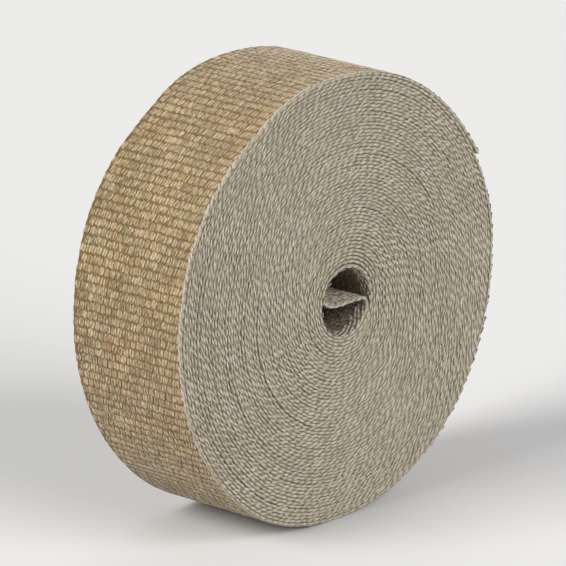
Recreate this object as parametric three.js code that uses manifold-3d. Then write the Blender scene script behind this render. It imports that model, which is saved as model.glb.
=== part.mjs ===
// A roll of woven glass-fibre exhaust wrap: one long tape wound on itself, with no core, standing on its rim.
// Millimetres, +Z up. The roll's axis runs along Y and its front end faces -Y.
// The origin is on the ground under the middle of the roll.

import * as THREE from "three";
import { mergeVertices } from "three/addons/utils/BufferGeometryUtils.js";
import Module from "manifold-3d";

// The tape and its winding
const TAPE_WIDTH = 50.8;
const TAPE_THICKNESS = 1.25;
const BORE_RADIUS = 12.5;
const TURNS = 54;
const ROLL_RADIUS = BORE_RADIUS + TURNS * TAPE_THICKNESS;

// The ends: the inner turns have slid towards the front, so the front is domed and the back is dished.
// The outermost turns are level, and the roll can lie on them.
const END_DOME = 3;
const DOME_POWER = 4;
const LEVEL_TURNS = 2;
const LEVEL_RADIUS = ROLL_RADIUS - LEVEL_TURNS * TAPE_THICKNESS;

// The turns on the ends: one ridge stands for a few turns
const TURNS_PER_RIDGE = 3;
const GROOVE_DEPTH = 0.9;

// The roll's round is many-sided
const ROUND_SIDES = 48;

// The tape's inner end, laid across the bore. Heights are from the roll's axis.
const FLAP_HEIGHT = -0.8;
const FLAP_LIFT = 2.2; // how far the free end turns up along the bore's wall
const FLAP_DROP = 3.2; // how far the other end bends down into the innermost turn
const FLAP_BEND_REACH = 4; // length over which each end bends

// The tape's outer end, seen from the front: angles are anticlockwise from +X
const TAIL_ANGLE = THREE.MathUtils.degToRad(27.4);
const TAIL_SPAN = THREE.MathUtils.degToRad(14);
const TAIL_LIFT = 0.7; // gap under the cut end
const TAIL_STEPS = 8;

const SINK = 0.3; // depth to which joined shapes run into each other

// The outermost turn's front and back edges along Y, with the whole roll centred on the origin
const INNERMOST_DOME = domeAt(BORE_RADIUS);
const FRONT_EDGE = (INNERMOST_DOME - TAPE_WIDTH) / 2;
const BACK_EDGE = FRONT_EDGE + TAPE_WIDTH;

// How far a turn of the given radius stands in front of the level ones.
function domeAt(radius) {
  return END_DOME * (1 - (radius / LEVEL_RADIUS) ** DOME_POWER);
}

// Points of one end from the bore to the rim, with a groove between neighbouring ridges.
// The groove is cut towards the tape's middle, so its direction is the opposite on the two ends.
function endProfile(edge, grooveDirection) {
  const ridges = Math.round((TURNS - LEVEL_TURNS) / TURNS_PER_RIDGE);
  const pitch = (LEVEL_RADIUS - BORE_RADIUS) / ridges;
  const points = [];
  for (let i = 0; i < ridges; i++) {
    const crest = BORE_RADIUS + i * pitch;
    const groove = crest + pitch / 2;
    points.push(new THREE.Vector2(crest, edge - domeAt(crest)));
    points.push(new THREE.Vector2(groove, edge - domeAt(groove) + grooveDirection * GROOVE_DEPTH));
  }
  points.push(new THREE.Vector2(LEVEL_RADIUS, edge));
  points.push(new THREE.Vector2(ROLL_RADIUS, edge));
  return points;
}

// The wound turns as one turned solid. Its flats touch the true round, and one of them is at the bottom.
function woundTurns() {
  const front = endProfile(FRONT_EDGE, 1);
  const back = endProfile(BACK_EDGE, -1).reverse();
  const profile = [...front, ...back, front[0]];
  const halfSide = Math.PI / ROUND_SIDES;
  const acrossCorners = 1 / Math.cos(halfSide);
  return new THREE.LatheGeometry(profile, ROUND_SIDES, halfSide).scale(acrossCorners, 1, acrossCorners);
}

// A strip of tape between two curves, as wide as the tape, with its front edge at the given Y.
function strip(outerCurve, innerCurve, frontEdge) {
  const outline = new THREE.Shape([...outerCurve, ...innerCurve.toReversed()]);
  const geometry = new THREE.ExtrudeGeometry(outline, { depth: TAPE_WIDTH, bevelEnabled: false });
  return geometry.rotateX(Math.PI / 2).translate(0, frontEdge + TAPE_WIDTH, 0);
}

// The inner end of the tape, across the bore: flat in the middle, up at its free end, down at the other.
function innerFlap() {
  const reach = BORE_RADIUS + SINK;
  const half = TAPE_THICKNESS / 2;
  const middle = [
    [-reach, FLAP_HEIGHT + FLAP_LIFT],
    [-reach + FLAP_BEND_REACH / 2, FLAP_HEIGHT + FLAP_LIFT / 4],
    [-reach + FLAP_BEND_REACH, FLAP_HEIGHT],
    [reach - FLAP_BEND_REACH, FLAP_HEIGHT],
    [reach - FLAP_BEND_REACH / 2, FLAP_HEIGHT - FLAP_DROP / 4],
    [reach, FLAP_HEIGHT - FLAP_DROP],
  ];
  const upper = middle.map(([x, z]) => new THREE.Vector2(x, z + half));
  const lower = middle.map(([x, z]) => new THREE.Vector2(x, z - half));
  return strip(upper, lower, FRONT_EDGE - INNERMOST_DOME);
}

// The outer end of the tape: it leaves the rim little by little and stops at a cut end.
function outerTail() {
  const outer = [];
  const inner = [];
  for (let i = 0; i <= TAIL_STEPS; i++) {
    const share = i / TAIL_STEPS;
    const angle = TAIL_ANGLE + share * TAIL_SPAN;
    const underside = ROLL_RADIUS + TAIL_LIFT - share * (TAIL_LIFT + TAPE_THICKNESS + SINK);
    const topside = underside + TAPE_THICKNESS;
    const towards = new THREE.Vector2(Math.cos(angle), Math.sin(angle));
    outer.push(towards.clone().multiplyScalar(topside));
    inner.push(towards.clone().multiplyScalar(underside));
  }
  return strip(outer, inner, FRONT_EDGE);
}

const wasm = await Module();
wasm.setup();

// A closed geometry as a solid that can be joined to others.
function solidOf(geometry) {
  geometry.deleteAttribute("normal");
  geometry.deleteAttribute("uv");
  const merged = mergeVertices(geometry, 1e-4);
  return new wasm.Manifold(
    new wasm.Mesh({
      numProp: 3,
      vertProperties: merged.attributes.position.array,
      triVerts: new Uint32Array(merged.index.array),
    }),
  );
}

// A joined solid as a geometry again.
function geometryOf(solid) {
  const { vertProperties, triVerts } = solid.getMesh();
  const geometry = new THREE.BufferGeometry();
  geometry.setAttribute("position", new THREE.BufferAttribute(vertProperties, 3));
  geometry.setIndex(new THREE.BufferAttribute(triVerts, 1));
  geometry.computeVertexNormals();
  return geometry;
}

// The whole roll: its wound turns, with the two ends of the same tape.
function wrapRoll() {
  const solid = solidOf(woundTurns()).add(solidOf(innerFlap())).add(solidOf(outerTail()));
  const material = new THREE.MeshStandardMaterial({ color: 0xb7a077, roughness: 0.9, metalness: 0 });
  const mesh = new THREE.Mesh(geometryOf(solid), material);
  mesh.name = "wrap_roll";
  mesh.position.z = ROLL_RADIUS;
  return mesh;
}

const exhaustWrap = new THREE.Group();
exhaustWrap.add(wrapRoll());

export default exhaustWrap;
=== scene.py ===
"""A roll of woven glass-fibre exhaust wrap: one tape, wound on itself and standing on its rim.

The tape follows one path: from its free end across the bore, through the turns, to its cut end on the rim.
Its cloth, the loops along its two edges and the yarns on its faces are all laid along that path.
Metres, +Z up. The roll's axis runs along Y and its front end faces -Y.
"""
import math

import bpy
import numpy as np
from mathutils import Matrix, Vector


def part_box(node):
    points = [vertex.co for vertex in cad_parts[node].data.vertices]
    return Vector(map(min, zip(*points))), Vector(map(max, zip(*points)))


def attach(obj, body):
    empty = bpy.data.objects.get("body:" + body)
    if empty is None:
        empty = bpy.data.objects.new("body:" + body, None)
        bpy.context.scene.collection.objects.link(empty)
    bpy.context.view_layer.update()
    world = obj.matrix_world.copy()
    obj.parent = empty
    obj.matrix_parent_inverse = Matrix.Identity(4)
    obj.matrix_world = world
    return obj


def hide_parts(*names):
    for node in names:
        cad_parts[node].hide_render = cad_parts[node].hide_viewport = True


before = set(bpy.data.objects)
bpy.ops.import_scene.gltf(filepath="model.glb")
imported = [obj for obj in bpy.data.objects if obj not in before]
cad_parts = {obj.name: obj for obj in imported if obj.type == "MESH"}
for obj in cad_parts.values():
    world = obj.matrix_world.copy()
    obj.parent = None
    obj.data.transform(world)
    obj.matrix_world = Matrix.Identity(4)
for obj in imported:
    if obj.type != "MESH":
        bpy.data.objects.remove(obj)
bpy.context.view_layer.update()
NODE = "wrap_roll"
MM = 0.001

# The roll, from its solid
LOW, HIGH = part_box(NODE)
ROLL_RADIUS = (HIGH.z - LOW.z) / 2
AXIS_HEIGHT = LOW.z + ROLL_RADIUS
TAPE_WIDTH = 50.8 * MM
RIM_MIDDLE = HIGH.y - TAPE_WIDTH / 2  # where the middle of the outermost turn is along Y

# The winding
TURNS = 54
TURN_PITCH = 1.25 * MM
BORE_RADIUS = ROLL_RADIUS - TURNS * TURN_PITCH
CLOTH_THICKNESS = 1.2 * MM
END_DOME = 3 * MM
DOME_POWER = 4
LEVEL_RADIUS = ROLL_RADIUS - 2 * TURN_PITCH
CORE_TURNS = 4  # the turns around the bore, whose edge loops lie straight
FIRST_TURN = 0.13  # the turn number at which the tape leaves the bore's wall to become the flap

# The outer end of the tape, on the rim
TAIL_ANGLE = math.radians(27.4)
TAIL_LIFT = 0.6 * MM
TAIL_LIFT_TURNS = 0.035

# The inner end of the tape, across the bore: x and z from the roll's axis, from the free end to the wall
FLAP_POINTS = [
    (-11.2, 2.2), (-10.0, 0.6), (-7.6, -0.5), (-2.3, -1.0), (2.0, -0.9),
    (6.6, -0.9), (8.8, -1.0), (10.2, -1.8), (10.8, -3.0),
]

# Lumps of the rim, seen from the front: angle, height and half width
RIM_LUMPS = [
    (10, 1.3 * MM, 20), (66, -0.5 * MM, 20), (89, -0.8 * MM, 13), (124, -1.1 * MM, 10), (154, 0.6 * MM, 17),
    (245, 0.9 * MM, 15), (271, -0.06 * MM, 16), (315, 1.5 * MM, 26), (342, 0.4 * MM, 10),
]
LUMP_DEPTH_POWER = 3  # how fast the lumps fade towards the bore

# Loose spots, seen from the front: radius, angle, half width and extra gap between two turns
LOOSE_SPOTS = [
    (78.4, 100, 50, 0.17), (74.7, 72, 32, 0.19), (74.0, 230, 32, 0.21), (71.7, 180, 60, 0.17),
    (69.2, 195, 36, 0.15), (66.4, 42, 40, 0.24), (65.5, 240, 30, 0.15), (64.4, 150, 45, 0.22),
    (58.4, 212, 34, 0.19), (58.7, 340, 36, 0.17), (51.4, 170, 45, 0.26), (51.9, 55, 26, 0.17),
    (48.0, 16, 26, 0.17), (44.9, 205, 48, 0.32), (39.9, 10, 36, 0.19), (34.6, 193, 48, 0.26),
    (32.6, 45, 44, 0.22), (28.3, 212, 44, 0.26), (24.6, 38, 34, 0.17), (21.5, 222, 36, 0.19),
    (19.8, 195, 72, 0.27), (14.4, 120, 100, 0.26),
]
LOOSE_DEPTH_TURNS = 2.5
LOOSE_REACH = 1.7  # how much further than its half width a spot fades out

# Small slips of the turns along the axis: height, radians per turn and phase
SLIPS = [(0.13 * MM, 5.1, 0), (0.08 * MM, 13.7, 1)]

# Steps of the tape's path: turns between two of its points, and points between two of the flap's
SPIRAL_STEP = 0.004
FLAP_STEPS = 12
FLAP_AIM = 8  # the point of the winding that the flap's curve aims at where it meets the first

# The bore, a little tighter and lower than the winding around it
BORE_SHIFT = (-0.45 * MM, -0.5 * MM)
BORE_TIGHTENING = 0.6 * MM
BORE_DEPTH_TURNS = 8

# The weave: broad warp yarns across most of the tape, narrow ones along its front edge
ROW_PITCH = 3.2 * MM
FLOAT_PITCH = 2.56 * MM
FLOATS_PER_ROW = 17
NARROW_PITCH = 1.27 * MM
NARROW_PER_ROW = 4
FINE_ROW_PITCH = 1.6 * MM  # of the small crossings on the flap and in the bore
FINE_PER_ROW = 39
FLAP_PITCH = 1.4 * MM  # across the flap, where they lie more openly
FLAP_PER_ROW = 35
WAVER_SCALE = 90.0  # of the noise that bends the rows

# How grains lean from the tape's length, in degrees, and how much that varies
FLOAT_LEAN, FLOAT_LEAN_SPREAD = -11, 8
NARROW_LEAN = -16
FINE_LEAN, FINE_LEAN_SPREAD = -35, 20
PICK_LEAN, PICK_LEAN_SPREAD, BORE_PICK_SPREAD = 18, 12, 22

# The loops along the edges, by stretch: lean, its spread, and how far they slip out of the tape
LOOP_LOOSENESS = {
    "flap": (5, 6, 0.1 * MM), "core": (5, 6, 0.12 * MM),
    "turn": (15, 12, 0.34 * MM), "rim": (4, 4, 0.1 * MM),
}

# Grains of yarn: length, width and height
LOOP_SIZE = (3.5 * MM, 1.08 * MM, 0.58 * MM)
FLOAT_SIZE = (3.4 * MM, 2.75 * MM, 0.56 * MM)
NARROW_SIZE = (3.4 * MM, 1.42 * MM, 0.56 * MM)
FINE_SIZE = (2.1 * MM, 1.15 * MM, 0.55 * MM)

# How full they stay towards their tips, in width and in height
LOOP_ENDS = (2.2, 2.2)
FLOAT_ENDS = (5, 2.2)
FINE_ENDS = (3, 3)

# Places of their rings, as shares of the half length
LOOP_RINGS = (-0.75, 0, 0.75)
FLOAT_RINGS = (-0.92, -0.55, 0.55, 0.92)
FINE_RINGS = (-0.75, 0.75)

# Their sections, from one side over the top to the other: shares of the half width and half height
ONE_YARN = ((1, 0), (0.8, 0.75), (0, 1), (-0.8, 0.75), (-1, 0), (0, -0.5))
TWO_YARNS = ((1, 0.3), (0.66, 1), (0.04, 0.6), (-0.62, 1), (-1, 0.3), (0, -0.5))

# Where the weft yarns turn back
PICK_INSET = 0.45 * MM  # inside the edge of the cloth
PICK_SINK = 0.1 * MM
PICK_PITCH = 1.9 * MM
PICK_STAGGER = 0.6 * MM  # of a single line: every second pick stands half of this further in
PICK_SPACING = 1.7 * MM  # between the lines inside the bore
BORE_PICK_LINES = 3

# Each laid piece draws its random numbers from its own seed, and the loops from one for each edge
SEEDS = {
    "front": 11, "back": 12, "rim_floats": 21, "rim_edge_floats": 24, "bore_floats": 31, "flap_floats": 41,
    "rim_edge_picks": 51, "flap_edge_picks": 54, "bore_edge_picks": 57,
}

# Colours of the yarns: deep, middle and light; the deep end also carries painted shade where a yarn lies low
# between the grains
GOLDEN_YARN = ((0.07, 0.042, 0.012), (0.245, 0.176, 0.089), (0.58, 0.47, 0.3))
# painted shade: a darker copy of the inner yarn, for the shade inside the bore
SHADED_BORE_YARN = ((0.022, 0.015, 0.008), (0.14, 0.108, 0.07), (0.52, 0.44, 0.33))
# painted light: a paler copy of the golden yarn, for the light and grazing sheen on the flap's top; also
# laid at the bore's front lip
LIT_FLAP_YARN = ((0.11, 0.083, 0.057), (0.46, 0.4, 0.33), (0.8, 0.72, 0.62))
PALE_YARN = ((0.205, 0.18, 0.122), (0.335, 0.3, 0.222), (0.55, 0.51, 0.4))
WHITE_YARN = ((0.21, 0.175, 0.125), (0.37, 0.32, 0.25), (0.56, 0.51, 0.43))
RICH = (0.3, 0.17, 0.4)  # how far red, green and blue stray on the richer yarns
FAINT = (0.16, 0.11, 0.22)  # and on the paler ones

# The yarns' fibres, and the noises that colour yarn and cloth
FIBRE_STRETCH = (0.55, 1.3, 0.6)  # along the yarn, across it and up
GRAINS_APART = 71.0  # so that no two grains share their fibres
FIBRE_RELIEF = 0.1 * MM
PATCH_SCALE = 90.0
HUE_SCALE = 130.0
THREAD_SCALE = 900.0

# The cloth between the grains, with its dark and light colours; the rim's golden cloth is kept darker than
# its yarns, painted shade in the gaps between the grains
CLOTHS = [
    # its own golden tone, darkened as painted shade between the rim's grains
    ("golden cloth with painted shade", (0.095, 0.055, 0.018), (0.225, 0.145, 0.06)),
    ("pale cut cloth", (0.2, 0.175, 0.12), (0.33, 0.295, 0.22)),
    # also on the flap's top, where its paler tone in place of golden is painted light and sheen
    ("beige inner cloth", (0.13, 0.1, 0.06), (0.24, 0.2, 0.135)),
    # painted shade: a darker copy of the inner cloth, for the shade inside the bore
    ("bore cloth with painted shade", (0.045, 0.034, 0.022), (0.15, 0.118, 0.08)),
]
SHADED_GOLDEN_CLOTH, PALE_CLOTH, BEIGE_CLOTH, SHADED_BORE_CLOTH = range(len(CLOTHS))
OUTER_STRIP, INNER_STRIP = 0, 4  # the tape's two faces among the strips of the cloth's section
CLOTH_ROUNDING = 0.25 * MM
EDGE_INSET = 0.3 * MM  # the cloth stops this far inside the tape's width
CLOTH_EDGE = TAPE_WIDTH / 2 - EDGE_INSET
FLOAT_LEVEL = CLOTH_THICKNESS / 2 - 0.1 * MM  # the floats lie a little sunk in the cloth

# The camera, in degrees and metres, and how far it slides to its right and up
CAMERA_AZIMUTH = -47.48
CAMERA_ELEVATION = 17.03
CAMERA_DISTANCE = 2433.7 * MM
CAMERA_SLIDE = Vector((-1.02 * MM, 0.58 * MM))
CAMERA_LENS = 445.7

# The lights: azimuth, elevation, spread, strength and colour
LIGHTS = [
    ("left softbox", -105, 33, 34, 3.25, (1.0, 0.99, 0.96)),
    ("front softbox", 2, 30, 44, 2.75, (1.0, 0.99, 1.0)),
    ("back softbox", 125, 20, 60, 1.0, (1.0, 1.0, 1.0)),
]
SURROUND_STRENGTH = 0.22
FLOOR_SIZE = 12
FLOOR_GREY = 0.62


def dome(radius):
    """How far the turns of these radii stand in front of the level outermost ones."""
    return END_DOME * (1 - np.clip(radius / LEVEL_RADIUS, 0, 1) ** DOME_POWER)


def turned_by(angle, centre):
    """Difference of two angles in radians, between -pi and pi."""
    return (angle - centre + math.pi) % (2 * math.pi) - math.pi


def lumps(angle):
    """Height of the rim's lumps at these angles."""
    height = np.zeros_like(angle)
    for centre, rise, half in RIM_LUMPS:
        off = turned_by(angle, math.radians(centre)) / math.radians(half)
        height += rise * np.exp(-off ** 2)
    return height


def looseness(turn, angle):
    """Shift of the tape by the loose spots: outwards outside each gap, inwards inside it."""
    shift = np.zeros_like(turn)
    for radius, centre, half, gap in LOOSE_SPOTS:
        phase = (TAIL_ANGLE - math.radians(centre)) / (2 * math.pi)
        inner = round((radius * MM - BORE_RADIUS) / TURN_PITCH - 0.5 - phase) + phase
        off = turned_by(angle, math.radians(centre)) / math.radians(LOOSE_REACH * half)
        window = 0.5 + 0.5 * np.cos(math.pi * np.clip(off, -1, 1))
        layers = np.abs(turn - inner - 0.5)
        shift += np.sign(turn - inner - 0.5) * gap * MM / 2 * window * np.exp(-layers / LOOSE_DEPTH_TURNS)
    return shift


def wander(turn):
    """Small slips of the turns along the axis."""
    return sum(height * np.sin(rate * turn + start) for height, rate, start in SLIPS)


def spiral(turn):
    """Points on the tape's middle line at these turn numbers, counted from the bore."""
    angle = TAIL_ANGLE + 2 * math.pi * (TURNS - turn)
    even = BORE_RADIUS + TURN_PITCH * turn
    lift = TAIL_LIFT * np.clip((turn - TURNS) / TAIL_LIFT_TURNS + 1, 0, 1) ** 2
    bore = np.exp(-turn / BORE_DEPTH_TURNS)
    radius = even + looseness(turn, angle) + lumps(angle) * (even / ROLL_RADIUS) ** LUMP_DEPTH_POWER
    radius += lift - BORE_TIGHTENING * bore
    return np.column_stack([
        BORE_SHIFT[0] * bore + radius * np.cos(angle),
        RIM_MIDDLE - dome(even) + wander(turn),
        AXIS_HEIGHT + BORE_SHIFT[1] * bore + radius * np.sin(angle),
    ])


def smooth_through(points, steps):
    """A smooth curve through all but the last of these points."""
    ends = [2 * points[0] - points[1], *points]
    curve = []
    for a, b, c, d in zip(ends, ends[1:], ends[2:], ends[3:]):
        for t in np.arange(steps) / steps:
            curve.append(0.5 * (2 * b + (c - a) * t + (2 * a - 5 * b + 4 * c - d) * t ** 2
                                + (3 * b - a - 3 * c + d) * t ** 3))
    return np.array(curve)


def tape_path():
    """The tape's middle line in fine steps, from its end in the bore to its end on the rim."""
    wound = spiral(np.arange(FIRST_TURN, TURNS, SPIRAL_STEP))
    flap = [np.array([x * MM, wound[0][1], AXIS_HEIGHT + z * MM]) for x, z in FLAP_POINTS]
    flap = smooth_through([*flap, wound[0], wound[FLAP_AIM]], FLAP_STEPS)
    return np.vstack([flap, wound, spiral(np.array([float(TURNS)]))])


class Path:
    """The tape's middle line, which places can be read from by their distance along it."""

    def __init__(self, points):
        self.points = points
        steps = np.linalg.norm(np.diff(points, axis=0), axis=1)
        self.along = np.concatenate([[0], np.cumsum(steps)])
        self.length = self.along[-1]

    def at(self, distance):
        """Points of the middle line at these distances."""
        return np.column_stack([np.interp(distance, self.along, self.points[:, i]) for i in range(3)])

    def directions(self, distance):
        """Unit vectors along the tape and out of its outer face."""
        step = 0.2 * MM
        along = self.at(distance + step) - self.at(distance - step)
        along /= np.linalg.norm(along, axis=1)[:, None]
        outward = np.cross(along, [0, 1, 0])
        outward /= np.linalg.norm(outward, axis=1)[:, None]
        return along, outward

    def distance_of_turn(self, turn):
        """Distance along the path at which a turn number is reached."""
        place = spiral(np.array([float(turn)]))[0]
        return self.along[np.argmin(np.linalg.norm(self.points - place, axis=1))]


PATH = Path(tape_path())
FLAP_END = PATH.distance_of_turn(FIRST_TURN)
FIRST_TURN_END = PATH.distance_of_turn(FIRST_TURN + 1)
CORE_END = PATH.distance_of_turn(CORE_TURNS)
RIM_START = PATH.distance_of_turn(TURNS - 1 - 2 * TAIL_LIFT_TURNS)


def new_object(name, vertices, edges, faces):
    """An object with this mesh, in the scene."""
    mesh = bpy.data.meshes.new(name)
    mesh.from_pydata([tuple(v) for v in vertices], edges, faces)
    mesh.update()
    made = bpy.data.objects.new(name, mesh)
    bpy.context.scene.collection.objects.link(made)
    return made


def face_finish(strip, distance):
    """Which cloth a strip of the section has: golden on the rim and darker in the bore, both with painted
    shade, pale on the edges.
    """
    if strip == OUTER_STRIP:
        return SHADED_GOLDEN_CLOTH if distance > RIM_START else BEIGE_CLOTH
    if strip == INNER_STRIP:
        return SHADED_BORE_CLOTH if distance < FIRST_TURN_END else BEIGE_CLOTH
    return PALE_CLOTH


def tape_cloth():
    """The cloth of the whole tape as one closed ribbon with rounded edges."""
    half, side = CLOTH_THICKNESS / 2, CLOTH_EDGE
    flat = side - CLOTH_ROUNDING
    section = [
        (half, -flat), (half, flat), (half / 2, side), (-half / 2, side),
        (-half, flat), (-half, -flat), (-half / 2, -side), (half / 2, -side),
    ]
    fine_end = FLAP_END + 2 * math.pi * BORE_RADIUS
    distance = np.concatenate([
        np.arange(0, fine_end, ROW_PITCH / 4), np.arange(fine_end, PATH.length, ROW_PITCH), [PATH.length],
    ])
    middle = PATH.at(distance)
    outward = PATH.directions(distance)[1]
    rings = [middle + out * outward + np.array([0, across, 0]) for out, across in section]
    vertices = np.stack(rings, axis=1).reshape(-1, 3)
    count = len(section)
    faces, finish = [tuple(range(count))], [PALE_CLOTH]
    for ring in range(len(distance) - 1):
        first = ring * count
        for i in range(count):
            j = (i + 1) % count
            faces.append((first + j, first + i, first + count + i, first + count + j))
            finish.append(face_finish(i, distance[ring]))
    last = (len(distance) - 1) * count
    faces.append(tuple(last + i for i in reversed(range(count))))
    finish.append(PALE_CLOTH)
    cloth = new_object("tape_cloth", vertices, [], faces)
    for name, dark, light in CLOTHS:
        cloth.data.materials.append(cloth_material(name, dark, light))
    cloth.data.polygons.foreach_set("material_index", finish)
    cloth.data.shade_smooth()
    return cloth


def yarn_grain(name, size, section, ends, rings):
    """One closed grain of yarn that shows between two crossings: long in X, with its top in +Z.

    The ends say how full it stays towards its tips, in width and in height. Its fibre attribute runs along
    the yarn and round it, so that the fibres follow the yarn.
    """
    length, width, height = size
    fullness_across, fullness_up = ends
    vertices = [(-length / 2, 0, -height / 4)]
    fibre = [(-1, 0, 0)]
    for place in rings:
        wide = (1 - abs(place) ** fullness_across) ** 0.5
        high = (1 - abs(place) ** fullness_up) ** 0.5
        for side, top in section:
            vertices.append((place * length / 2, width / 2 * wide * side, height / 2 * high * top))
            fibre.append((place, side, top * high))
    vertices.append((length / 2, 0, -height / 4))
    fibre.append((1, 0, 0))
    sides, last = len(section), len(vertices) - 1
    faces = []
    for i in range(sides):
        j = (i + 1) % sides
        faces.append((0, 1 + j, 1 + i))
        for ring in range(len(rings) - 1):
            first = 1 + ring * sides
            faces.append((first + i, first + j, first + sides + j, first + sides + i))
        faces.append((last, last - sides + i, last - sides + j))
    grain = new_object(name, vertices, [], faces)
    # the fibre's third part, its height, also sets the yarn's painted shade low on the grain
    attribute = grain.data.attributes.new("fibre", "FLOAT_VECTOR", "POINT")
    attribute.data.foreach_set("vector", np.array(fibre, dtype=float).ravel())
    return grain


def guide(start, end, out, across):
    """A line beside the tape's middle line: this far out of its outer face, and this far across the tape."""
    distance = np.arange(start, end, ROW_PITCH / 2)
    points = PATH.at(distance) + out * PATH.directions(distance)[1] + np.array([0, across, 0])
    return new_object("guide", points, [(i, i + 1) for i in range(len(points) - 1)], [])


def add(tree, kind, sockets=None, **settings):
    """A node of this kind, with its settings, and its inputs as values or as links from other nodes."""
    node = tree.nodes.new(kind)
    for name, value in settings.items():
        setattr(node, name, value)
    for key, value in (sockets or {}).items():
        if isinstance(value, bpy.types.NodeSocket):
            tree.links.new(value, node.inputs[key])
        else:
            node.inputs[key].default_value = value
    return node


def number(tree, operation, *values):
    """The result of one calculation with these numbers or sockets."""
    return add(tree, "ShaderNodeMath", dict(enumerate(values)), operation=operation).outputs[0]


def vector(tree, operation, *values):
    """The result of one calculation with these vectors or sockets."""
    return add(tree, "ShaderNodeVectorMath", dict(enumerate(values)), operation=operation).outputs[0]


def scaled(tree, given, factor):
    """This vector times a number."""
    return add(tree, "ShaderNodeVectorMath", {0: given, "Scale": factor}, operation="SCALE").outputs[0]


def random_number(tree, low, high, seed):
    """A random number for each point, between these two."""
    sockets = {2: low, 3: high, "Seed": seed}
    return add(tree, "FunctionNodeRandomValue", sockets, data_type="FLOAT").outputs[1]


def random_vector(tree, low, high, seed):
    """A random vector for each point, between these two."""
    sockets = {0: low, 1: high, "Seed": seed}
    return add(tree, "FunctionNodeRandomValue", sockets, data_type="FLOAT_VECTOR").outputs[0]


def crosswise(tree, distance):
    """A step of this distance across the tape."""
    return add(tree, "ShaderNodeCombineXYZ", {"Y": distance}).outputs[0]


def new_tree(name, inputs):
    """A geometry tree with these named inputs, and its input node."""
    tree = bpy.data.node_groups.new(name, "GeometryNodeTree")
    tree.interface.new_socket("Geometry", in_out="INPUT", socket_type="NodeSocketGeometry")
    for label, kind in inputs:
        tree.interface.new_socket(label, in_out="INPUT", socket_type="NodeSocket" + kind)
    tree.interface.new_socket("Geometry", in_out="OUTPUT", socket_type="NodeSocketGeometry")
    return tree, add(tree, "NodeGroupInput").outputs


def rows_along(tree, given):
    """Points along the guide line, one for each row of the weave."""
    curve = add(tree, "GeometryNodeMeshToCurve", {"Mesh": given["Geometry"]})
    return add(tree, "GeometryNodeCurveToPoints", {
        "Curve": curve.outputs[0], "Length": given["Row pitch"],
    }, mode="LENGTH").outputs


def displaced(tree, given, points, rotation):
    """Moves the points by a smooth waver and a random jitter, along, across and out of the tape."""
    waves = add(tree, "ShaderNodeTexNoise", {"Scale": given["Waver scale"], "Detail": 1.0})
    centred = vector(tree, "SUBTRACT", waves.outputs["Color"], (0.5, 0.5, 0.5))
    seed = number(tree, "ADD", given["Seed"], 3.0)
    jitter = random_vector(tree, (-0.5, -0.5, -0.5), (0.5, 0.5, 0.5), seed)
    jittered = vector(tree, "MULTIPLY", jitter, given["Jitter"])
    local = vector(tree, "MULTIPLY_ADD", centred, given["Waver"], jittered)
    offset = add(tree, "FunctionNodeRotateVector", {"Vector": local, "Rotation": rotation}).outputs[0]
    return add(tree, "GeometryNodeSetPosition", {"Geometry": points, "Offset": offset}).outputs[0]


def scatter(tree, given, points, rotation):
    """Ends a tree: a grain on every point, each a little turned, sized and tinted its own way."""
    points = displaced(tree, given, points, rotation)
    least = number(tree, "SUBTRACT", given["Lean"], given["Lean spread"])
    most = number(tree, "ADD", given["Lean"], given["Lean spread"])
    angles = add(tree, "ShaderNodeCombineXYZ", {"Z": random_number(tree, least, most, given["Seed"])})
    turn = add(tree, "FunctionNodeEulerToRotation", {0: angles.outputs[0]})
    leaned = add(tree, "FunctionNodeRotateRotation", {
        0: rotation, 1: turn.outputs[0],
    }, rotation_space="LOCAL")
    smallest = vector(tree, "SUBTRACT", (1, 1, 1), given["Size spread"])
    largest = vector(tree, "ADD", (1, 1, 1), given["Size spread"])
    size = random_vector(tree, smallest, largest, number(tree, "ADD", given["Seed"], 1.0))
    grain = add(tree, "GeometryNodeObjectInfo", {"Object": given["Grain"]})
    placed = add(tree, "GeometryNodeInstanceOnPoints", {
        "Points": points, "Instance": grain.outputs["Geometry"],
        "Rotation": leaned.outputs[0], "Scale": size,
    })
    tint = random_number(tree, 0.0, 1.0, number(tree, "ADD", given["Seed"], 2.0))
    tinted = add(tree, "GeometryNodeStoreNamedAttribute", {
        "Geometry": placed.outputs[0], "Name": "tint", "Value": tint,
    }, data_type="FLOAT", domain="INSTANCE")
    real = add(tree, "GeometryNodeRealizeInstances", {"Geometry": tinted.outputs[0]})
    smooth = add(tree, "GeometryNodeSetShadeSmooth", {"Geometry": real.outputs[0]})
    finished = add(tree, "GeometryNodeSetMaterial", {
        "Geometry": smooth.outputs[0], "Material": given["Material"],
    })
    add(tree, "NodeGroupOutput", {0: finished.outputs[0]})


COMMON_INPUTS = [
    ("Row pitch", "Float"), ("Grain", "Object"), ("Lean", "Float"), ("Lean spread", "Float"),
    ("Size spread", "Vector"), ("Waver", "Vector"), ("Waver scale", "Float"), ("Jitter", "Vector"),
    ("Seed", "Int"), ("Material", "Material"),
]


def edge_loop_tree():
    """Lays one loop for each row of the weave along an edge of the tape."""
    tree, given = new_tree("loops along an edge", [*COMMON_INPUTS, ("Facing", "Vector")])
    rows = rows_along(tree, given)
    rotation = add(tree, "FunctionNodeAxesToRotation", {
        0: given["Facing"], 1: rows["Tangent"],
    }, primary_axis="Z", secondary_axis="X")
    scatter(tree, given, rows["Points"], rotation.outputs[0])
    return tree


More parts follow.
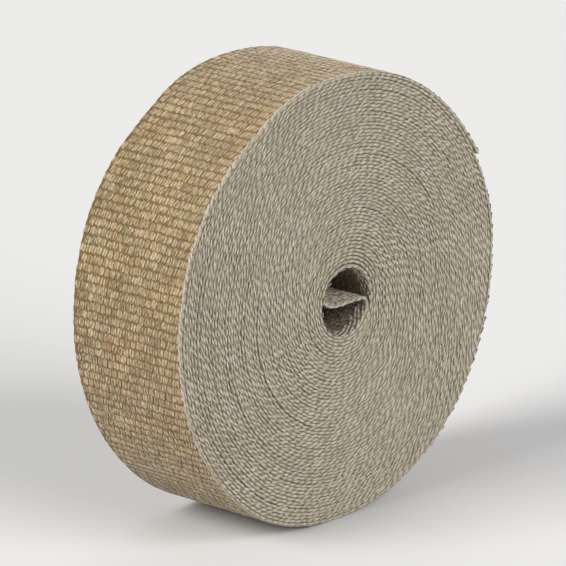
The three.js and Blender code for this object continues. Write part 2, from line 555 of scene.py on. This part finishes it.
def warp_float_tree():
    """Lays rows of floats or picks across a face of the tape, every second row shifted by half a pitch."""
    tree, given = new_tree("warp floats on a face", [
        *COMMON_INPUTS, ("Float pitch", "Float"), ("Floats per row", "Int"), ("Side", "Float"),
    ])
    rows = rows_along(tree, given)
    marked = add(tree, "GeometryNodeStoreNamedAttribute", {
        "Geometry": rows["Points"], "Name": "along", "Value": rows["Tangent"],
    }, data_type="FLOAT_VECTOR", domain="POINT")
    odd = number(tree, "MODULO", add(tree, "GeometryNodeInputIndex").outputs[0], 2.0)
    quarter = number(tree, "MULTIPLY_ADD", odd, 0.5, -0.25)
    shift = crosswise(tree, number(tree, "MULTIPLY", quarter, given["Float pitch"]))
    shifted = add(tree, "GeometryNodeSetPosition", {"Geometry": marked.outputs[0], "Offset": shift})
    gaps = number(tree, "SUBTRACT", given["Floats per row"], 1.0)
    reach = number(tree, "MULTIPLY", gaps, given["Float pitch"])
    line = add(tree, "GeometryNodeMeshLine", {
        "Count": given["Floats per row"],
        "Start Location": crosswise(tree, number(tree, "MULTIPLY", reach, -0.5)),
        "Offset": crosswise(tree, given["Float pitch"]),
    }, mode="OFFSET")
    lines = add(tree, "GeometryNodeInstanceOnPoints", {
        "Points": shifted.outputs[0], "Instance": line.outputs[0],
    })
    places = add(tree, "GeometryNodeRealizeInstances", {"Geometry": lines.outputs[0]})
    along = add(tree, "GeometryNodeInputNamedAttribute", {"Name": "along"}, data_type="FLOAT_VECTOR")
    outward = vector(tree, "CROSS_PRODUCT", along.outputs[0], (0, 1, 0))
    rotation = add(tree, "FunctionNodeAxesToRotation", {
        0: scaled(tree, outward, given["Side"]), 1: along.outputs[0],
    }, primary_axis="Z", secondary_axis="X")
    scatter(tree, given, places.outputs[0], rotation.outputs[0])
    return tree


def grown(name, line, tree, values):
    """Runs a geometry tree on a guide line and keeps what it makes as a plain mesh."""
    modifier = line.modifiers.new("weave", "NODES")
    modifier.node_group = tree
    inputs = [item for item in tree.interface.items_tree if item.in_out == "INPUT"]
    identifiers = {item.name: item.identifier for item in inputs}
    for label, value in values.items():
        modifier[identifiers[label]] = value
    line.update_tag()
    bpy.context.view_layer.update()
    graph = bpy.context.evaluated_depsgraph_get()
    evaluated = line.evaluated_get(graph)
    mesh = bpy.data.meshes.new_from_object(evaluated, preserve_all_data_layers=True, depsgraph=graph)
    mesh.name = name
    made = bpy.data.objects.new(name, mesh)
    bpy.context.scene.collection.objects.link(made)
    bpy.data.objects.remove(line)
    return made


def material_tree(name):
    """A new material, its node tree, and its shader."""
    material = bpy.data.materials.new(name)
    material.use_nodes = True
    tree = material.node_tree
    return material, tree, tree.nodes["Principled BSDF"]


def weighted_sum(tree, parts):
    """Adds up sockets, each by its own weight."""
    total = 0.0
    for socket, weight in parts:
        total = number(tree, "MULTIPLY_ADD", socket, weight, total)
    return total


def spread_out(tree, sockets):
    """A noise whose usual range is spread out to 0 to 1."""
    noise = add(tree, "ShaderNodeTexNoise", sockets)
    return add(tree, "ShaderNodeMapRange", {
        "Value": noise.outputs["Fac"], "From Min": 0.37, "From Max": 0.63,
    }).outputs[0]


def yarn_material(name, colours, stray):
    """Glass yarn: fibres along each grain, every grain its own tint, and painted shade low down between the
    grains.

    The colours go from deep to light. Red, green and blue stray this far from patch to patch.
    """
    deep, middle, light = colours
    material, tree, shader = material_tree(name)
    fibre = add(tree, "ShaderNodeAttribute", attribute_name="fibre")
    tint = add(tree, "ShaderNodeAttribute", attribute_name="tint")
    apart = scaled(tree, tint.outputs["Vector"], GRAINS_APART)
    own = vector(tree, "MULTIPLY_ADD", fibre.outputs["Vector"], FIBRE_STRETCH, apart)
    strands = spread_out(tree, {"Vector": own, "Scale": 1.6, "Detail": 3.0, "Roughness": 0.6})
    place = add(tree, "ShaderNodeTexCoord").outputs["Object"]
    patches = spread_out(tree, {"Vector": place, "Scale": PATCH_SCALE, "Detail": 3.0})
    height = add(tree, "ShaderNodeSeparateXYZ", {0: fibre.outputs["Vector"]}).outputs["Z"]
    # painted shade: the colour runs towards deep where the yarn lies low on its grain, for the shade between
    # grains
    painted_low_shade = add(tree, "ShaderNodeMapRange", {"Value": height, "From Min": 0.2, "From Max": 0.95}).outputs[0]
    shade = weighted_sum(tree, [
        (painted_low_shade, 0.38), (strands, 0.42), (tint.outputs["Fac"], 0.12), (patches, 0.08),
    ])
    ramp = add(tree, "ShaderNodeValToRGB", {"Fac": shade})
    stops = ramp.color_ramp.elements
    stops[0].position = 0.15
    stops[0].color = (*deep, 1)
    stops[1].position = 0.95
    stops[1].color = (*light, 1)
    stops.new(0.52).color = (*middle, 1)
    hues = add(tree, "ShaderNodeTexNoise", {"Vector": place, "Scale": HUE_SCALE, "Detail": 2.0})
    shift = vector(tree, "MULTIPLY_ADD", hues.outputs["Color"], stray, [1 - part / 2 for part in stray])
    tree.links.new(vector(tree, "MULTIPLY", ramp.outputs[0], shift), shader.inputs["Base Color"])
    bump = add(tree, "ShaderNodeBump", {"Height": strands, "Strength": 0.6, "Distance": FIBRE_RELIEF})
    tree.links.new(bump.outputs[0], shader.inputs["Normal"])
    shader.inputs["Roughness"].default_value = 0.7
    shader.inputs["Specular IOR Level"].default_value = 0.2
    shader.inputs["Sheen Weight"].default_value = 0.2
    shader.inputs["Sheen Roughness"].default_value = 0.5
    return material


def cloth_material(name, dark, light):
    """The deeper cloth between the grains; the colours given to it on the rim and in the bore hold painted
    shade.
    """
    material, tree, shader = material_tree(name)
    place = add(tree, "ShaderNodeTexCoord").outputs["Object"]
    threads = add(tree, "ShaderNodeTexNoise", {"Vector": place, "Scale": THREAD_SCALE, "Detail": 3.0})
    ramp = add(tree, "ShaderNodeValToRGB", {"Fac": threads.outputs["Fac"]})
    stops = ramp.color_ramp.elements
    stops[0].position = 0.3
    stops[0].color = (*dark, 1)
    stops[1].position = 0.75
    stops[1].color = (*light, 1)
    tree.links.new(ramp.outputs[0], shader.inputs["Base Color"])
    bump = add(tree, "ShaderNodeBump", {
        "Height": threads.outputs["Fac"], "Strength": 0.5, "Distance": FIBRE_RELIEF,
    })
    tree.links.new(bump.outputs[0], shader.inputs["Normal"])
    shader.inputs["Roughness"].default_value = 0.9
    return material


def dress(piece):
    """Makes a finished piece ride with the roll, and stand for its solid."""
    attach(piece, "root")
    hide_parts(NODE)


def lay(name, line, tree, values):
    """Grows grains along a guide line and dresses the result."""
    dress(grown(name, line, tree, values))


def leaning(degrees, spread):
    """The tree's inputs for how far grains lean from the tape's length, and how much that varies."""
    return {"Lean": math.radians(degrees), "Lean spread": math.radians(spread)}


def lay_edge_loops(tree, loop, yarn):
    """The loops along both edges, calm on the flap, around the bore and on the rim, and looser between."""
    stretches = {
        "flap": (0, FLAP_END), "core": (FLAP_END, CORE_END),
        "turn": (CORE_END, RIM_START), "rim": (RIM_START, PATH.length),
    }
    for stretch, (start, end) in stretches.items():
        degrees, spread, slip = LOOP_LOOSENESS[stretch]
        for edge, side in (("front", -1), ("back", 1)):
            line = guide(start + ROW_PITCH / 2, end, 0, side * CLOTH_EDGE)
            lay(f"{stretch}_{edge}_loops", line, tree, {
                **leaning(degrees, spread), "Grain": loop, "Material": yarn, "Seed": SEEDS[edge],
                "Row pitch": ROW_PITCH, "Waver scale": WAVER_SCALE, "Facing": (0, side, 0),
                "Size spread": (0.16, 0.14, 0.2), "Waver": (1.4 * MM, 0.2 * MM, 0.3 * MM),
                "Jitter": (1.0 * MM, slip, 0.2 * MM),
            })


def float_values(grain, yarn, side, seed):
    """The tree's inputs for floats on a face of the tape: its outer one at side 1, its inner one at -1."""
    return {
        **leaning(FLOAT_LEAN, FLOAT_LEAN_SPREAD), "Grain": grain, "Material": yarn, "Side": float(side),
        "Seed": seed, "Row pitch": ROW_PITCH, "Waver scale": WAVER_SCALE, "Size spread": (0.08, 0.08, 0.2),
        "Waver": (0.9 * MM, 0.8 * MM, 0.12 * MM), "Jitter": (0.35 * MM, 0.3 * MM, 0.1 * MM),
    }


def lay_rim_floats(tree, broad, narrow, yarn):
    """The floats on the rim: broad ones across most of it, narrow ones along its front edge."""
    start = RIM_START + ROW_PITCH / 2
    broad_middle = NARROW_PITCH * NARROW_PER_ROW / 2
    narrow_middle = -FLOAT_PITCH * FLOATS_PER_ROW / 2
    lay("rim_floats", guide(start, PATH.length, FLOAT_LEVEL, broad_middle), tree, {
        **float_values(broad, yarn, 1, SEEDS["rim_floats"]),
        "Float pitch": FLOAT_PITCH, "Floats per row": FLOATS_PER_ROW,
    })
    lay("rim_edge_floats", guide(start, PATH.length, FLOAT_LEVEL, narrow_middle), tree, {
        **float_values(narrow, yarn, 1, SEEDS["rim_edge_floats"]),
        **leaning(NARROW_LEAN, FLOAT_LEAN_SPREAD),
        "Float pitch": NARROW_PITCH, "Floats per row": NARROW_PER_ROW,
    })


def lay_bore_floats(tree, fine, yarn):
    """The small crossings on the inner face, around the bore and under the flap."""
    lay("bore_floats", guide(FINE_ROW_PITCH / 2, FIRST_TURN_END, -FLOAT_LEVEL, 0), tree, {
        **float_values(fine, yarn, -1, SEEDS["bore_floats"]), **leaning(FINE_LEAN, FINE_LEAN_SPREAD),
        "Row pitch": FINE_ROW_PITCH, "Float pitch": NARROW_PITCH, "Floats per row": FINE_PER_ROW,
        "Size spread": (0.25, 0.2, 0.35), "Jitter": (0.8 * MM, 0.5 * MM, 0.25 * MM),
    })


def lay_flap_floats(tree, fine, yarn):
    """The small crossings on top of the flap."""
    lay("flap_floats", guide(ROW_PITCH / 2, FLAP_END, FLOAT_LEVEL, 0), tree, {
        **float_values(fine, yarn, 1, SEEDS["flap_floats"]), **leaning(FINE_LEAN, FINE_LEAN_SPREAD),
        "Row pitch": FINE_ROW_PITCH, "Float pitch": FLAP_PITCH, "Floats per row": FLAP_PER_ROW,
        "Size spread": (0.2, 0.2, 0.3), "Jitter": (0.8 * MM, 0.6 * MM, 0.2 * MM),
    })


def lay_picks(tree, loop, name, stretch, side, lines, spacing, spread, yarn):
    """Lines of weft yarns that turn back inside the tape's front edge, on one stretch of one face."""
    out = side * (CLOTH_THICKNESS / 2 - PICK_SINK)
    inset = PICK_INSET + (lines - 1) / 2 * spacing
    lay(name, guide(*stretch, out, inset - CLOTH_EDGE), tree, {
        **float_values(loop, yarn, side, SEEDS[name]), **leaning(PICK_LEAN, spread),
        "Row pitch": PICK_PITCH, "Float pitch": spacing, "Floats per row": lines,
        "Size spread": (0.15, 0.15, 0.1),
    })


def build_roll():
    """The whole roll: its cloth, and the yarns that show on it."""
    golden = yarn_material("golden warp yarn", GOLDEN_YARN, RICH)
    # painted shade: the bore's yarn, a darker copy of the inner yarn
    brown = yarn_material("inner yarn with painted shade", SHADED_BORE_YARN, RICH)
    # painted light: the flap's yarn, a paler copy for the light and sheen on its top
    beige = yarn_material("flap yarn with painted light", LIT_FLAP_YARN, RICH)
    pale = yarn_material("pale edge yarn", PALE_YARN, FAINT)
    white = yarn_material("white selvedge yarn", WHITE_YARN, FAINT)
    dress(tape_cloth())

    loop = yarn_grain("loop", LOOP_SIZE, ONE_YARN, LOOP_ENDS, LOOP_RINGS)
    broad = yarn_grain("broad", FLOAT_SIZE, TWO_YARNS, FLOAT_ENDS, FLOAT_RINGS)
    narrow = yarn_grain("narrow", NARROW_SIZE, ONE_YARN, FLOAT_ENDS, FLOAT_RINGS)
    fine = yarn_grain("fine", FINE_SIZE, ONE_YARN, FINE_ENDS, FINE_RINGS)
    loops, floats = edge_loop_tree(), warp_float_tree()
    lay_edge_loops(loops, loop, pale)
    lay_rim_floats(floats, broad, narrow, golden)
    lay_bore_floats(floats, fine, brown)
    lay_flap_floats(floats, fine, beige)
    rim, flap, bore = (RIM_START, PATH.length), (0, FLAP_END), (FLAP_END, FIRST_TURN_END)
    single = (1, PICK_STAGGER, PICK_LEAN_SPREAD)
    several = (BORE_PICK_LINES, PICK_SPACING, BORE_PICK_SPREAD)
    lay_picks(floats, loop, "rim_edge_picks", rim, 1, *single, white)
    lay_picks(floats, loop, "flap_edge_picks", flap, 1, *single, white)
    lay_picks(floats, loop, "bore_edge_picks", bore, -1, *several, beige)
    for grain in (loop, broad, narrow, fine):
        bpy.data.objects.remove(grain)


def towards(azimuth, elevation):
    """The direction that this is seen from: the front at azimuth 0, the right at 90, in degrees."""
    turn, rise = math.radians(azimuth), math.radians(elevation)
    return Vector((math.sin(turn) * math.cos(rise), -math.cos(turn) * math.cos(rise), math.sin(rise)))


def build_camera():
    """The photograph's camera, about the middle of the outermost turn."""
    camera = bpy.data.objects.new("camera", bpy.data.cameras.new("camera"))
    bpy.context.scene.collection.objects.link(camera)
    camera.data.lens = CAMERA_LENS
    camera.data.sensor_width = 36
    camera.data.clip_end = 20
    back = towards(CAMERA_AZIMUTH, CAMERA_ELEVATION)
    camera.rotation_euler = back.to_track_quat("Z", "Y").to_euler()
    right = camera.rotation_euler.to_matrix() @ Vector((1, 0, 0))
    up = camera.rotation_euler.to_matrix() @ Vector((0, 1, 0))
    target = Vector((0, RIM_MIDDLE, AXIS_HEIGHT))
    camera.location = target + back * CAMERA_DISTANCE + right * CAMERA_SLIDE.x + up * CAMERA_SLIDE.y
    bpy.context.scene.camera = camera


def soft_sun(name, azimuth, elevation, spread, strength, colour):
    """A wide, even light from far away."""
    light = bpy.data.lights.new(name, "SUN")
    light.color = colour
    light.energy = strength
    light.angle = math.radians(spread)
    made = bpy.data.objects.new(name, light)
    made.location = towards(azimuth, elevation)
    made.rotation_euler = made.location.to_track_quat("Z", "Y").to_euler()
    bpy.context.scene.collection.objects.link(made)


def build_studio():
    """Soft lights, a white surround and a pale floor."""
    for light in LIGHTS:
        soft_sun(*light)
    world = bpy.data.worlds.new("studio")
    bpy.context.scene.world = world
    world.use_nodes = True
    surround = world.node_tree.nodes["Background"]
    surround.inputs["Color"].default_value = (1, 1, 1, 1)
    surround.inputs["Strength"].default_value = SURROUND_STRENGTH
    half = FLOOR_SIZE / 2
    corners = [(-half, -half, 0), (half, -half, 0), (half, half, 0), (-half, half, 0)]
    floor = new_object("floor", corners, [], [(0, 1, 2, 3)])
    material, _, shader = material_tree("pale floor")
    shader.inputs["Base Color"].default_value = (FLOOR_GREY, FLOOR_GREY, FLOOR_GREY, 1)
    shader.inputs["Roughness"].default_value = 0.9
    floor.data.materials.append(material)
    bpy.context.scene.view_settings.view_transform = "Standard"


build_camera()
build_roll()
build_studio()
